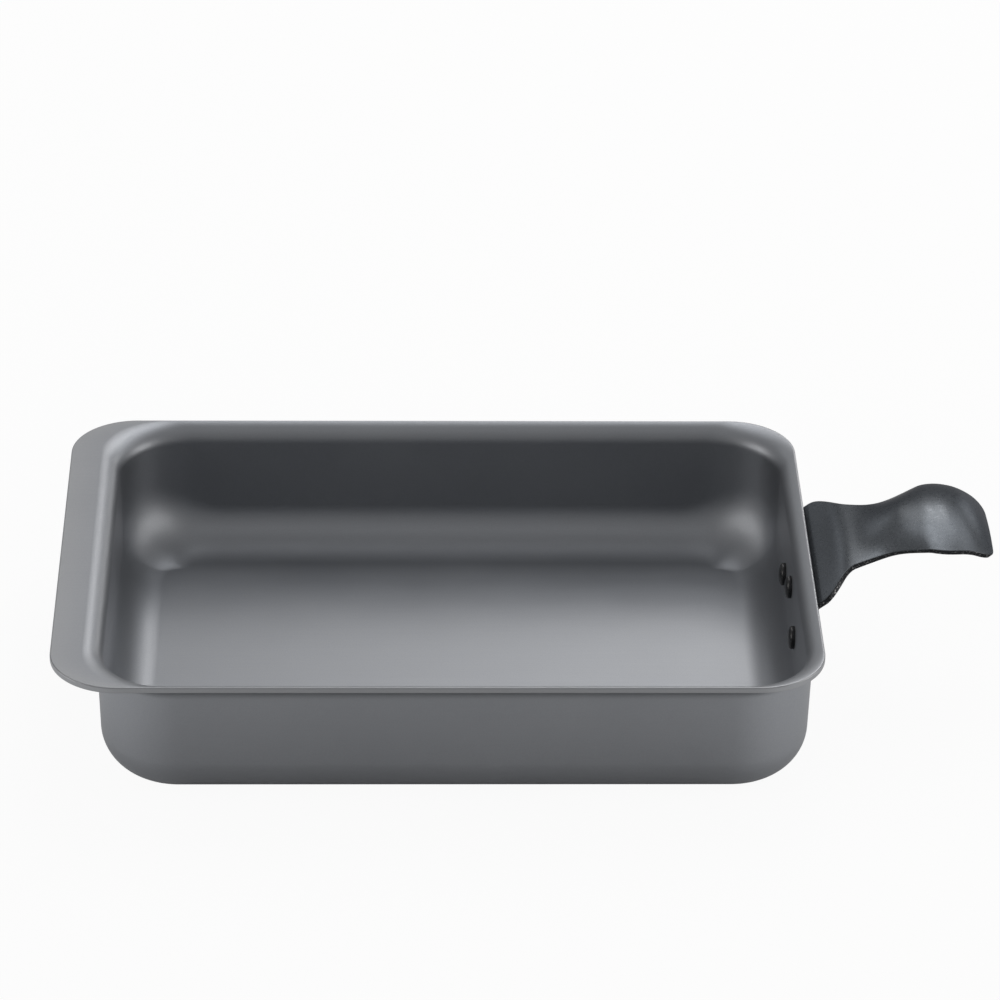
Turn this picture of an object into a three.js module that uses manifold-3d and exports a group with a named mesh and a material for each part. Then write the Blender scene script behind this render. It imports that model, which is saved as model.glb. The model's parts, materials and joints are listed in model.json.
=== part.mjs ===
// A shallow rectangular grill pan pressed from one sheet, with a short stamped handle riveted to an end wall.
// Millimetres, +Z up. The origin is the centre of the well, on the flat base that the pan stands on.
// +X points along the handle, and the wide grip ledge of the rim is at the -X end.
import * as THREE from "three";
import { mergeVertices } from "three/addons/utils/BufferGeometryUtils.js";
import Module from "manifold-3d";

const wasm = await Module();
wasm.setup();
const DEGREE = Math.PI / 180;

// Driving dimensions of the pan
const RIM_LENGTH = 260; // outer edge to outer edge, along X
const RIM_WIDTH = 184.9; // outer edge to outer edge, along Y
const RIM_CORNER = 23.1; // corner radius of the rim's outer edge
const PAN_HEIGHT = 47.8; // from the base to the top of the rim
const PAN_SHEET = 2.2; // thickness of the sheet
const LIP_REACH = 3.3; // rim beyond the outside of the wall, on three sides
const GRIP_REACH = 15.1; // the same on the grip ledge
const LIP_RISE = 4.6; // height under the rim over which the wall turns outward
const EDGE_FLAT = 0.5; // narrow level strip along the rim's edge
const WALL_CORNER = 27.7; // corner radius of the wall's outside, right under the rim
const WALL_DRAFT = 1.6 * DEGREE; // lean of the walls
const FLOOR_FILLET = 13.8; // inside radius between wall and floor

// Driving dimensions of the handle, a formed sheet followed from its flange to its free end
const HANDLE_SHEET = 2; // thickness of the sheet
const LIP_CLEARANCE = 0.5; // between the handle and the rim's lower edge
const ROOT_BEND = 6; // radius over the bend from the flange to the ramp
const RAMP_SLOPE = 37 * DEGREE; // climb from under the rim
const RAMP_LENGTH = 11.2;
const SHOULDER_BEND = 13; // radius from the ramp to the neck
const NECK_SLOPE = 9.2 * DEGREE;
const NECK_LENGTH = 3.8;
const RISE_BEND = 56; // hollow between the neck and the thumb rest
const RISE_SLOPE = 16.8 * DEGREE;
const RISE_LENGTH = 13;
const THUMB_BEND = 26; // radius over the thumb rest, down to the free end
const END_SLOPE = -42 * DEGREE;
const ROOT_WIDTH = 67.6;
const ROOT_HOLD = 3.6; // how far the root width is kept past the bend
const SHOULDER_WIDTH = 42.3;
const WAIST_WIDTH = 36.1;
const WAIST_PAST_NECK = 7.9; // the narrowest place, measured from the end of the neck
const THUMB_WIDTH = 47.5;
const END_WIDTH = 39.2;
const END_CORNER = 6.8;
const NECK_CROWN = 3.2; // height of the middle over the two side edges
const THUMB_CROWN = 4.6;

// Driving dimensions of the rivets and their places
const RIVET_SPACING = 43.4; // between the two lower rivets
const RIVET_DROP = 15.7; // upper rivet below the top of the rim
const RIVET_STEP = 7.5; // lower rivets below the upper one
const RIVET_SHANK = 4; // diameter
const RIVET_HEAD = 8; // diameter of the domed head inside the pan
const RIVET_HEAD_RISE = 2.3;
const RIVET_HEAD_SIDE = 1; // height of the head's straight side
const RIVET_TAIL = 7; // diameter of the closed end on the handle's side
const RIVET_TAIL_RISE = 1.6;
const RIVET_EDGE = 7.2; // rivet centre to the edge of the handle's flange
const FLANGE_CORNER = 7; // lower corners of the handle's flange
const FIT_GAP = 0.3; // between pieces that are seated on each other

// Fineness of the round stretches, in steps
const CORNER_STEPS = 10;
const FILLET_STEPS = 7;
const LIP_STEPS = 7;
const DOME_STEPS = 5;
const ROUND_SIDES = 24;
const HANDLE_COLUMNS = 10;
const HANDLE_STEP = 2.4; // longest row spacing along the handle
const CLOSEST_ROWS = 0.05; // rows nearer than this are one row
const PROBE = 0.01; // step for measuring the slope of the handle's face

// Materials from the photograph: satin grey pan, matt black handle and rivets
const satinGrey = new THREE.MeshStandardMaterial({ color: 0x6f7277, roughness: 0.45, metalness: 0.8 });
const mattBlack = new THREE.MeshStandardMaterial({ color: 0x2c2f32, roughness: 0.5, metalness: 0.2 });
const rivetBlack = new THREE.MeshStandardMaterial({ color: 0x1c1d1f, roughness: 0.4, metalness: 0.4 });

// Sizes that follow from the driving dimensions
const wellHalfLength = (RIM_LENGTH - LIP_REACH - GRIP_REACH) / 2;
const wellHalfWidth = RIM_WIDTH / 2 - LIP_REACH;
const lipUnderside = PAN_HEIGHT - PAN_SHEET;
const lean = Math.tan(WALL_DRAFT);
const baseBend = FLOOR_FILLET + PAN_SHEET;
const flareStart = lipUnderside - LIP_RISE;
const rivetRow = PAN_HEIGHT - RIVET_DROP - RIVET_STEP;

// How far the outside of the wall stands outward of its line under the rim, at a height. Negative is inward.
function wallOutward(height) {
  return -(lipUnderside - height) * lean;
}

// X of the outside of the end wall that carries the handle.
function endWallX(height) {
  return wellHalfLength + wallOutward(height);
}

// A geometry from points and triangle corners.
function meshOf(points, corners) {
  const geometry = new THREE.BufferGeometry().setFromPoints(points);
  geometry.setIndex(corners);
  return geometry;
}

// A closed geometry as a solid that can be cut.
function solidOf(geometry) {
  const bare = new THREE.BufferGeometry();
  bare.setAttribute("position", geometry.getAttribute("position"));
  bare.setIndex(geometry.getIndex());
  const merged = mergeVertices(bare);
  return new wasm.Manifold(
    new wasm.Mesh({
      numProp: 3,
      vertProperties: new Float32Array(merged.getAttribute("position").array),
      triVerts: new Uint32Array(merged.getIndex().array),
    }),
  );
}

// The solid's surface as a geometry again.
function geometryOf(solid) {
  const mesh = solid.getMesh();
  const geometry = new THREE.BufferGeometry();
  geometry.setAttribute("position", new THREE.BufferAttribute(mesh.vertProperties, 3));
  geometry.setIndex(new THREE.BufferAttribute(mesh.triVerts, 1));
  return geometry;
}

// The pan: rings of one closed section, carried round the well

// A level ring of points, anticlockwise from above, on a rectangle with round corners.
function ringOf(low, high, radius, height) {
  const corners = [
    { x: high.x - radius, y: high.y - radius, from: 0 },
    { x: low.x + radius, y: high.y - radius, from: 90 },
    { x: low.x + radius, y: low.y + radius, from: 180 },
    { x: high.x - radius, y: low.y + radius, from: 270 },
  ];
  return corners.flatMap(({ x, y, from }) =>
    Array.from({ length: CORNER_STEPS + 1 }, (_, step) => {
      const angle = (from + (90 * step) / CORNER_STEPS) * DEGREE;
      return new THREE.Vector3(x + radius * Math.cos(angle), y + radius * Math.sin(angle), height);
    }),
  );
}

// A ring that keeps one distance outward of the wall's line under the rim.
function wallRing(outward, height) {
  const reach = { x: wellHalfLength + outward, y: wellHalfWidth + outward };
  const radius = Math.max(WALL_CORNER + outward, FIT_GAP);
  return ringOf({ x: -reach.x, y: -reach.y }, reach, radius, height);
}

// A ring on the outer edge of the rim.
function rimRing(height) {
  const low = { x: -wellHalfLength - GRIP_REACH, y: -wellHalfWidth - LIP_REACH };
  const high = { x: wellHalfLength + LIP_REACH, y: wellHalfWidth + LIP_REACH };
  return ringOf(low, high, RIM_CORNER, height);
}

// Rings along the round lower edge, from one angle to another about the centre of its section.
function arcRings(centre, radius, from, to) {
  return Array.from({ length: FILLET_STEPS + 1 }, (_, step) => {
    const angle = from + ((to - from) * step) / FILLET_STEPS;
    return wallRing(centre.outward + radius * Math.cos(angle), centre.height + radius * Math.sin(angle));
  });
}

// Rings up one face of the flare, from the wall to the rim. On the ledge the arc ends level. On the other
// sides the lip is short, so its arc is cut off by the rim's edge before it is level.
function flareRings(outward, rise) {
  const reach = Math.min(LIP_REACH - EDGE_FLAT - outward, rise);
  const radius = (rise * rise + reach * reach) / (2 * reach);
  return Array.from({ length: LIP_STEPS + 1 }, (_, step) => {
    const angle = ((Math.PI / 2) * step) / LIP_STEPS;
    const up = rise * Math.sin(angle);
    const levelling = 1 - Math.cos(angle);
    const side = outward + radius - Math.sqrt(radius * radius - up * up);
    const ledge = outward + rise * levelling;
    const corner = WALL_CORNER + side + (RIM_CORNER - WALL_CORNER - LIP_REACH) * levelling;
    const low = { x: -wellHalfLength - ledge, y: -wellHalfWidth - side };
    const high = { x: wellHalfLength + side, y: wellHalfWidth + side };
    return ringOf(low, high, corner, flareStart + up);
  });
}

function panGeometry() {
  const baseCentre = { outward: wallOutward(baseBend) - baseBend / Math.cos(WALL_DRAFT), height: baseBend };
  const wallOutside = wallOutward(flareStart);
  const wallInside = wallOutside - PAN_SHEET / Math.cos(WALL_DRAFT);
  const down = -Math.PI / 2;
  const toWall = -WALL_DRAFT;
  const rings = [
    ...arcRings(baseCentre, baseBend, down, toWall),
    ...flareRings(wallOutside, LIP_RISE),
    rimRing(lipUnderside),
    rimRing(PAN_HEIGHT),
    ...flareRings(wallInside, LIP_RISE + PAN_SHEET).reverse(),
    ...arcRings(baseCentre, FLOOR_FILLET, toWall, down),
  ];
  const sides = rings[0].length;
  const points = rings.flat();
  const underside = points.push(new THREE.Vector3(0, 0, 0)) - 1;
  const floor = points.push(new THREE.Vector3(0, 0, PAN_SHEET)) - 1;
  const last = (rings.length - 1) * sides;
  const corners = [];
  for (let side = 0; side < sides; side += 1) {
    const next = (side + 1) % sides;
    corners.push(underside, next, side);
    corners.push(floor, last + side, last + next);
    for (let ring = 0; ring < last; ring += sides) {
      corners.push(ring + side, ring + next, ring + sides + next);
      corners.push(ring + side, ring + sides + next, ring + sides + side);
    }
  }
  return meshOf(points, corners);
}

// The handle: a flat blank with a shaped outline, bent along a path and crowned across it

// A path in the XZ plane made of straight runs and arcs that follow on from each other smoothly.
function bentPath(start, heading, runs) {
  const legs = [];
  let from = { ...start, heading, distance: 0 };
  for (const { length, turn } of runs) {
    const curve = turn / length;
    const leg = { ...from, length, curve };
    legs.push(leg);
    from = { ...alongLeg(leg, length), distance: from.distance + length };
  }
  const at = (distance) => {
    const leg = legs.findLast((each) => distance >= each.distance) ?? legs[0];
    return alongLeg(leg, distance - leg.distance);
  };
  return { at, starts: legs.map((leg) => leg.distance), length: from.distance };
}

// Place and heading after a distance along one leg of a path.
function alongLeg({ x, z, heading, curve }, distance) {
  const turned = heading + curve * distance;
  if (curve === 0) {
    return { x: x + distance * Math.cos(heading), z: z + distance * Math.sin(heading), heading };
  }
  const across = (Math.sin(turned) - Math.sin(heading)) / curve;
  const rise = (Math.cos(heading) - Math.cos(turned)) / curve;
  return { x: x + across, z: z + rise, heading: turned };
}

// An arc's run on a path, from its radius and its headings.
function arcRun(radius, from, to) {
  return { length: radius * Math.abs(to - from), turn: to - from };
}

// A straight run on a path.
function straightRun(length) {
  return { length, turn: 0 };
}

// A smooth value through stations of [distance, value], with no overshoot between them.
function smoothThrough(stations) {
  const rates = stations.slice(1).map(([s, value], i) => (value - stations[i][1]) / (s - stations[i][0]));
  const slopes = stations.map((_, i) => {
    const before = rates[i - 1] ?? 0;
    const after = rates[i] ?? 0;
    return before * after > 0 ? (2 * before * after) / (before + after) : 0;
  });
  return (distance) => {
    const next = stations.findIndex(([s]) => s > distance);
    const i = next < 0 ? stations.length - 2 : Math.max(next - 1, 0);
    const [from, low] = stations[i];
    const [to, high] = stations[i + 1];
    const span = to - from;
    const t = THREE.MathUtils.clamp((distance - from) / span, 0, 1);
    const ease = t * t * (3 - 2 * t);
    const lead = t * (1 - t) * (1 - t) * slopes[i] * span;
    const trail = t * t * (1 - t) * slopes[i + 1] * span;
    return low + (high - low) * ease + lead - trail;
  };
}

// The half width that a round corner takes away at a distance from the end of the blank.
function cornerLoss(fromEnd, radius) {
  const inside = Math.max(radius - fromEnd, 0);
  return radius - Math.sqrt(Math.max(radius * radius - inside * inside, 0));
}

// The flange lies on the wall, and the ramp passes under the rim's lower edge with its clearance.
const flangeHeading = Math.PI / 2 - WALL_DRAFT;
const seatStep = (FIT_GAP + ROOT_BEND) / Math.cos(WALL_DRAFT);
const bendHeight =
  (lipUnderside * Math.cos(RAMP_SLOPE) -
    (wellHalfLength + LIP_REACH - endWallX(0) - seatStep) * Math.sin(RAMP_SLOPE) -
    ROOT_BEND -
    LIP_CLEARANCE) /
  (Math.cos(RAMP_SLOPE) - lean * Math.sin(RAMP_SLOPE));
const flangeFoot = rivetRow - RIVET_EDGE * Math.cos(WALL_DRAFT);
const flangeTop = bendHeight + ROOT_BEND * Math.sin(WALL_DRAFT);
const flangeLength = (flangeTop - flangeFoot) / Math.cos(WALL_DRAFT);
const handlePath = bentPath(
  { x: endWallX(flangeFoot) + FIT_GAP / Math.cos(WALL_DRAFT), z: flangeFoot },
  flangeHeading,
  [
    straightRun(flangeLength),
    arcRun(ROOT_BEND, flangeHeading, RAMP_SLOPE),
    straightRun(RAMP_LENGTH),
    arcRun(SHOULDER_BEND, RAMP_SLOPE, NECK_SLOPE),
    straightRun(NECK_LENGTH),
    arcRun(RISE_BEND, NECK_SLOPE, RISE_SLOPE),
    straightRun(RISE_LENGTH),
    arcRun(THUMB_BEND, RISE_SLOPE, END_SLOPE),
  ],
);
const [, bendStart, rampStart, , neckStart, riseStart, , thumbStart] = handlePath.starts;
const thumbTop = thumbStart + THUMB_BEND * RISE_SLOPE;
const waist = riseStart + WAIST_PAST_NECK;

// Half width of the blank before its corners are rounded.
const blankHalfWidth = smoothThrough([
  [0, RIVET_SPACING / 2 + RIVET_EDGE],
  [bendStart, ROOT_WIDTH / 2],
  [rampStart + ROOT_HOLD, ROOT_WIDTH / 2],
  [neckStart, SHOULDER_WIDTH / 2],
  [waist, WAIST_WIDTH / 2],
  [thumbTop, THUMB_WIDTH / 2],
  [handlePath.length, END_WIDTH / 2],
]);

// Height of the handle's middle over its side edges.
const crown = smoothThrough([
  [rampStart, 0],
  [neckStart, NECK_CROWN],
  [thumbTop, THUMB_CROWN],
  [handlePath.length, 0],
]);

// A point of the handle's upper face, at a distance along the path and a place across it.
function upperFace(distance, y) {
  const { x, z, heading } = handlePath.at(distance);
  const share = y / blankHalfWidth(distance);
  const lift = crown(distance) * (1 - share * share);
  return new THREE.Vector3(x - lift * Math.sin(heading), y, z + lift * Math.cos(heading));
}

// The point right through the sheet from a point of the upper face.
function lowerFace(distance, y) {
  const along = upperFace(distance + PROBE, y).sub(upperFace(distance - PROBE, y));
  const across = upperFace(distance, y + PROBE).sub(upperFace(distance, y - PROBE));
  const normal = along.cross(across).normalize();
  return upperFace(distance, y).addScaledVector(normal, -HANDLE_SHEET);
}

// Distances along the blank for its rows: closer together where a round corner ends it.
function rowDistances() {
  const corner = (radius, step) => radius * (1 - Math.cos((step / CORNER_STEPS) * (Math.PI / 2)));
  const steps = Array.from({ length: CORNER_STEPS + 1 }, (_, step) => step);
  const foot = steps.map((step) => corner(FLANGE_CORNER, step));
  const end = steps.map((step) => handlePath.length - corner(END_CORNER, step)).reverse();
  const stops = [FLANGE_CORNER, ...handlePath.starts.slice(1), handlePath.length - END_CORNER];
  const between = stops.sort((a, b) => a - b).flatMap((from, i) => {
    const to = stops[i + 1] ?? from;
    const count = Math.max(Math.ceil((to - from) / HANDLE_STEP), 1);
    return Array.from({ length: count }, (_, step) => from + ((to - from) * step) / count);
  });
  const middle = between.filter((s) => s > foot.at(-1) && s < end[0]);
  return [...foot, ...middle, ...end].filter((s, i, all) => i === 0 || s - all[i - 1] > CLOSEST_ROWS);
}

function handleGeometry() {
  const rows = rowDistances();
  const wide = HANDLE_COLUMNS + 1;
  const upper = [];
  const lower = [];
  for (const distance of rows) {
    const loss =
      cornerLoss(distance, FLANGE_CORNER) + cornerLoss(handlePath.length - distance, END_CORNER);
    const half = blankHalfWidth(distance) - loss;
    for (let column = 0; column < wide; column += 1) {
      const y = half * ((2 * column) / HANDLE_COLUMNS - 1);
      upper.push(upperFace(distance, y));
      lower.push(lowerFace(distance, y));
    }
  }
  const below = upper.length;
  const corners = [];
  const quad = (a, b, c, d) => corners.push(a, b, c, a, c, d);
  const lastRow = (rows.length - 1) * wide;
  for (let row = 0; row < lastRow; row += wide) {
    const next = row + wide;
    for (let column = 0; column < HANDLE_COLUMNS; column += 1) {
      const [a, b] = [row + column, next + column];
      quad(a, b, b + 1, a + 1);
      quad(below + a, below + a + 1, below + b + 1, below + b);
    }
    quad(row, below + row, below + next, next);
    const [near, far] = [row + HANDLE_COLUMNS, next + HANDLE_COLUMNS];
    quad(far, below + far, below + near, near);
  }
  for (let column = 0; column < HANDLE_COLUMNS; column += 1) {
    quad(column, column + 1, below + column + 1, below + column);
    const tip = lastRow + column;
    quad(tip + 1, tip, below + tip, below + tip + 1);
  }
  return meshOf([...upper, ...lower], corners);
}

// The rivets: one-piece fasteners through the wall and the flange, along the wall's own outward direction

// Points of a shallow dome's profile, from its rim to its top or back.
function domeProfile(diameter, rise, seat, side) {
  const radius = diameter / 2;
  const sphere = (radius * radius + rise * rise) / (2 * rise);
  const spread = Math.asin(Math.min(radius / sphere, 1));
  return Array.from({ length: DOME_STEPS + 1 }, (_, step) => {
    const angle = (spread * step) / DOME_STEPS;
    const height = sphere * Math.cos(angle) - (sphere - rise);
    return new THREE.Vector2(sphere * Math.sin(angle), seat + side * height);
  });
}

// A rivet along local +X, with the outside of the wall at x = 0 and its head on the inside.
function rivetGeometry() {
  const headSeat = -PAN_SHEET - FIT_GAP;
  const tailSeat = 2 * FIT_GAP + HANDLE_SHEET;
  const shank = RIVET_SHANK / 2;
  const domeSeat = headSeat - RIVET_HEAD_SIDE;
  const profile = [
    ...domeProfile(RIVET_HEAD, RIVET_HEAD_RISE - RIVET_HEAD_SIDE, domeSeat, -1),
    new THREE.Vector2(RIVET_HEAD / 2, headSeat),
    new THREE.Vector2(shank, headSeat),
    new THREE.Vector2(shank, tailSeat),
    ...domeProfile(RIVET_TAIL, RIVET_TAIL_RISE, tailSeat, 1).reverse(),
  ];
  profile[0].x = 0;
  profile.at(-1).x = 0;
  return new THREE.LatheGeometry(profile, ROUND_SIDES).rotateZ(-Math.PI / 2);
}

// A round cutter for a rivet's hole, longer than the wall and the flange together.
function rivetHole() {
  const radius = RIVET_SHANK / 2 + FIT_GAP;
  const length = 2 * (PAN_SHEET + HANDLE_SHEET + RIVET_SHANK);
  return new THREE.CylinderGeometry(radius, radius, length, ROUND_SIDES).rotateZ(-Math.PI / 2);
}

const rivetPlaces = [
  { name: "rivet_upper", y: 0, up: RIVET_STEP },
  { name: "rivet_lower_front", y: -RIVET_SPACING / 2, up: 0 },
  { name: "rivet_lower_rear", y: RIVET_SPACING / 2, up: 0 },
];

// The assembly
const grillPan = new THREE.Group();

// A group on the outside of the end wall, level with the lower rivets, turned to the wall's lean.
const wallSeat = new THREE.Group();
wallSeat.position.set(endWallX(rivetRow), 0, rivetRow);
wallSeat.rotation.y = WALL_DRAFT;
wallSeat.updateMatrixWorld();
grillPan.add(wallSeat);

let panSolid = solidOf(panGeometry());
let handleSolid = solidOf(handleGeometry());
for (const { name, y, up } of rivetPlaces) {
  const rivet = new THREE.Mesh(rivetGeometry(), rivetBlack);
  rivet.name = name;
  rivet.position.set(0, y, up / Math.cos(WALL_DRAFT));
  wallSeat.add(rivet);
  rivet.updateMatrixWorld();
  const hole = solidOf(rivetHole().applyMatrix4(rivet.matrixWorld));
  panSolid = panSolid.subtract(hole);
  handleSolid = handleSolid.subtract(hole);
}

const panBody = new THREE.Mesh(geometryOf(panSolid), satinGrey);
panBody.name = "pan_body";
const handle = new THREE.Mesh(geometryOf(handleSolid), mattBlack);
handle.name = "handle";
grillPan.add(panBody, handle);

export default grillPan;
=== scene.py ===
# %% [markdown]
# # A pressed grill pan with a riveted handle
# The real object is a rectangular pan drawn from one sheet of aluminium and hard-anodised to a satin grey.
# A short handle stamped from black coated steel is held to its right end wall by three rivets.
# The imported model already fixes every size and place. This lesson builds finer meshes in the same frame,
# gives each one a finish made of shader nodes, and photographs them in a white studio.

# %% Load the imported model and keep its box
import json
import math

import bpy
from mathutils import Matrix, Vector


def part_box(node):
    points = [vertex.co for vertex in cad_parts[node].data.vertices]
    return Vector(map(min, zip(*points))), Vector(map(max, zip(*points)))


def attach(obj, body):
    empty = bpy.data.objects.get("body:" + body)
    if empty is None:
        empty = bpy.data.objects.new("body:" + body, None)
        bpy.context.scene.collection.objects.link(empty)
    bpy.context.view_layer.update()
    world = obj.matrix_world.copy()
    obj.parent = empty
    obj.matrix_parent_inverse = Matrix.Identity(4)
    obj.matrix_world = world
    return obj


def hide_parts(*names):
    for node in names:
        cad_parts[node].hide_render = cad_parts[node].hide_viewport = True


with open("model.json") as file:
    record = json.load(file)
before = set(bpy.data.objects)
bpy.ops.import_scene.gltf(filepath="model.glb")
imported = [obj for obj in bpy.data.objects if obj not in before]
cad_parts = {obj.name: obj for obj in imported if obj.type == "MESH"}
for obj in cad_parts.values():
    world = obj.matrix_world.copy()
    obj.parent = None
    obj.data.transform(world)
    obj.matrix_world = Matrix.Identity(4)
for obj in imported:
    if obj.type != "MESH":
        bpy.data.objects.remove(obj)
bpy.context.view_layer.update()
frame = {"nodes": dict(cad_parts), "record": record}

print("packed pieces:", ", ".join(sorted(frame["nodes"])))

# %% [markdown]
# ## The camera
# The photograph looks down into the well from the front with a long lens, so parallel edges stay nearly
# parallel. A camera could be aimed by eye or by a constraint. Here it is given by the way it faces and by
# where one known point lies in its view, because both can be measured in the photograph.
# The middle of the rim is that point, since the frame says exactly where it is.

# %% Place the camera by the middle of the rim
MM = 0.001
CAMERA_TILT = math.radians(29.55)
CAMERA_HEADING = math.radians(1.66)
CAMERA_ROLL = math.radians(0.87)
FOCAL_IN_FRAMES = 5.0056
RIM_AWAY = 1738.2 * MM
RIM_LEFT = 22.2 * MM
RIM_BELOW = 16.7 * MM

pan_low, pan_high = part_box("pan_body")
rim_middle = Vector(((pan_low.x + pan_high.x) / 2, 0, pan_high.z))

level_ahead = Vector((math.sin(CAMERA_HEADING), math.cos(CAMERA_HEADING), 0))
ahead = level_ahead * math.cos(CAMERA_TILT) - Vector((0, 0, math.sin(CAMERA_TILT)))
level_right = Vector((math.cos(CAMERA_HEADING), -math.sin(CAMERA_HEADING), 0))
level_up = level_right.cross(ahead)
right = level_right * math.cos(CAMERA_ROLL) + level_up * math.sin(CAMERA_ROLL)
up = level_up * math.cos(CAMERA_ROLL) - level_right * math.sin(CAMERA_ROLL)

lens = bpy.data.cameras.new("camera")
lens.lens = lens.sensor_width * FOCAL_IN_FRAMES
camera = bpy.data.objects.new("camera", lens)
axes = Matrix((right, up, -ahead)).transposed()
place = rim_middle + right * RIM_LEFT + up * RIM_BELOW - ahead * RIM_AWAY
camera.matrix_world = Matrix.Translation(place) @ axes.to_4x4()
bpy.context.scene.collection.objects.link(camera)
bpy.context.scene.camera = camera
print("camera at", [round(value, 3) for value in place], "lens", round(lens.lens, 1), "mm")

# %% [markdown]
# ## The pan's section
# The press leaves one sheet with a wide bend round the base, a leaning wall, and a flare that turns the wall
# outward into the rim. Extruding and bevelling a box would only guess at these bends.
# Writing the section as lines and arcs keeps them as measured. The rim's length, width and height and the
# thickness of the sheet come from the frame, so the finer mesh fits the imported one.

# %% Sizes of the pressed sheet
LIP_REACH = 3.3 * MM
LIP_RISE = 4.6 * MM
WALL_DRAFT = math.radians(1.6)

draft_cos = math.cos(WALL_DRAFT)
draft_sin = math.sin(WALL_DRAFT)
draft_tan = math.tan(WALL_DRAFT)
ledge = next(mount for mount in frame["record"]["mounts"] if mount["name"] == "grip_ledge_rest")
lip_underside = ledge["pos_m"][2]
pan_sheet = pan_high.z - lip_underside
well_half_length = pan_high.x - LIP_REACH
well_half_width = pan_high.y - LIP_REACH
flare_start = lip_underside - LIP_RISE
print("sheet", round(pan_sheet / MM, 2), "mm, well", round(2 * well_half_length / MM, 1), "mm long")


def wall_outward(height):
    """How far the wall's outside stands outward of its line under the rim. Negative is inward."""
    return (height - lip_underside) * draft_tan


# %% [markdown]
# ## Rings with round corners
# Seen from above, the pan is a rectangle with round corners at every height. A curve with bevelled corners
# could draw that, but its points would not line up from one height to the next.
# Every ring is therefore made of the same stations: many on the round of each corner, and a few along the
# straight sides next to it, where the bends of the sheet still change.

# %% Stations round the four corners
CORNER_STEPS = 28
RUN_STEPS = 6
RUN_LENGTH = 12 * MM
QUARTER = math.pi / 2

runs = [RUN_LENGTH * step / RUN_STEPS for step in range(1, RUN_STEPS + 1)]
corner_stations = [(0.0, -run) for run in reversed(runs)]
corner_stations += [(step / CORNER_STEPS, 0.0) for step in range(CORNER_STEPS + 1)]
corner_stations += [(1.0, run) for run in runs]
print("stations round each corner:", len(corner_stations))


def ring_place(centre, angle, radius, run, height):
    """A place on a round corner, or some way along the straight side that meets it."""
    x = centre[0] + radius * math.cos(angle) - run * math.sin(angle)
    y = centre[1] + radius * math.sin(angle) + run * math.cos(angle)
    return (x, y, height)


def rounded_ring(low, high, radius, height):
    """A level ring on a rectangle with round corners, anticlockwise from above."""
    corners = (
        (high[0] - radius, high[1] - radius),
        (low[0] + radius, high[1] - radius),
        (low[0] + radius, low[1] + radius),
        (high[0] - radius, low[1] + radius),
    )
    ring = []
    for corner, centre in enumerate(corners):
        for turn, run in corner_stations:
            ring.append(ring_place(centre, QUARTER * (corner + turn), radius, run, height))
    return ring


# %% [markdown]
# ## Wall and rim
# The wall leans outward a little, so that the pan comes off the press, and the rim is a flat lip round it.
# A ring of the wall keeps one distance from the line where the wall would meet the lip. A ring of the rim
# keeps one distance from the rim's outer edge. Written this way, both corners keep their own real radius.

# %% Rings of the wall and the rim
WALL_CORNER = 27.7 * MM
RIM_CORNER = 23.1 * MM


def wall_ring(outward, height):
    """A ring that keeps one distance outward of the wall's line under the rim."""
    length = well_half_length + outward
    width = well_half_width + outward
    return rounded_ring((-length, -width), (length, width), WALL_CORNER + outward, height)


def rim_ring(inset, height):
    """A ring that keeps one distance inside the rim's outer edge."""
    low = (pan_low.x + inset, pan_low.y + inset)
    high = (pan_high.x - inset, pan_high.y - inset)
    return rounded_ring(low, high, RIM_CORNER - inset, height)


# %% [markdown]
# ## The flare
# At its top the wall turns outward into a narrow lip on three sides, and into the wide grip ledge on the
# left end. A single profile swept round the pan would make both alike.
# Here each ring of the flare has its own rectangle: the left side follows a full round bend on to the ledge,
# and the other three an arc that stops just short of the rim's edge, before it is level.

# %% Rings up the flare, outside and inside
EDGE_FLAT = 0.6 * MM
LIP_STEPS = 14


def flare_rings(outward, rise):
    """Rings up one face of the flare. The arc ends level on the ledge, and sooner where the lip is short."""
    reach = min(LIP_REACH - EDGE_FLAT - outward, rise)
    radius = (rise ** 2 + reach ** 2) / (2 * reach)
    rings = []
    for step in range(LIP_STEPS + 1):
        angle = QUARTER * step / LIP_STEPS
        climb = rise * math.sin(angle)
        levelling = 1 - math.cos(angle)
        side = outward + radius - math.sqrt(radius ** 2 - climb ** 2)
        low = (-well_half_length - outward - rise * levelling, -well_half_width - side)
        high = (well_half_length + side, well_half_width + side)
        corner = WALL_CORNER + side + (RIM_CORNER - WALL_CORNER - LIP_REACH) * levelling
        rings.append(rounded_ring(low, high, corner, flare_start + climb))
    return rings


wall_inside = wall_outward(flare_start) - pan_sheet / draft_cos
outer_flare = flare_rings(wall_outward(flare_start), LIP_RISE)
inner_flare = flare_rings(wall_inside, LIP_RISE + pan_sheet)
print("flare:", len(outer_flare), "rings outside,", len(inner_flare), "inside")

# %% [markdown]
# ## The fillet round the well's floor
# Inside, the wall runs into the floor by a soft fillet, and in each corner the sheet swells into a ball that
# catches a round spot of light. A bevel modifier would give one radius everywhere.
# Here the fillet is a quarter of an oval whose reach and height change on the way round: one oval on the
# long sides, another on the ends and a larger one in the corners, each blended into the next.

# %% Reach and height of the fillet
LONG_FILLET = (18.3 * MM, 14.4 * MM)
END_FILLET = (14.4 * MM, 15.5 * MM)
BALL_FILLET = (22 * MM, 25 * MM)
BALL_SPREAD = 30 * MM


def blend(first, second, share):
    """Values a share of the way from the first to the second."""
    return [start + (end - start) * share for start, end in zip(first, second)]


def fillet_at(corner, turn, run):
    """Reach and height of the fillet: by the side it is on, and rising to the ball in each corner."""
    angle = QUARTER * (corner + turn)
    away = abs((turn - 0.5) * QUARTER * (WALL_CORNER + wall_inside) + run) / BALL_SPREAD
    ball = (1 + math.cos(math.pi * min(away, 1.0))) / 2
    straight = blend(END_FILLET, LONG_FILLET, math.sin(angle) ** 2)
    return blend(straight, BALL_FILLET, ball)


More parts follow.
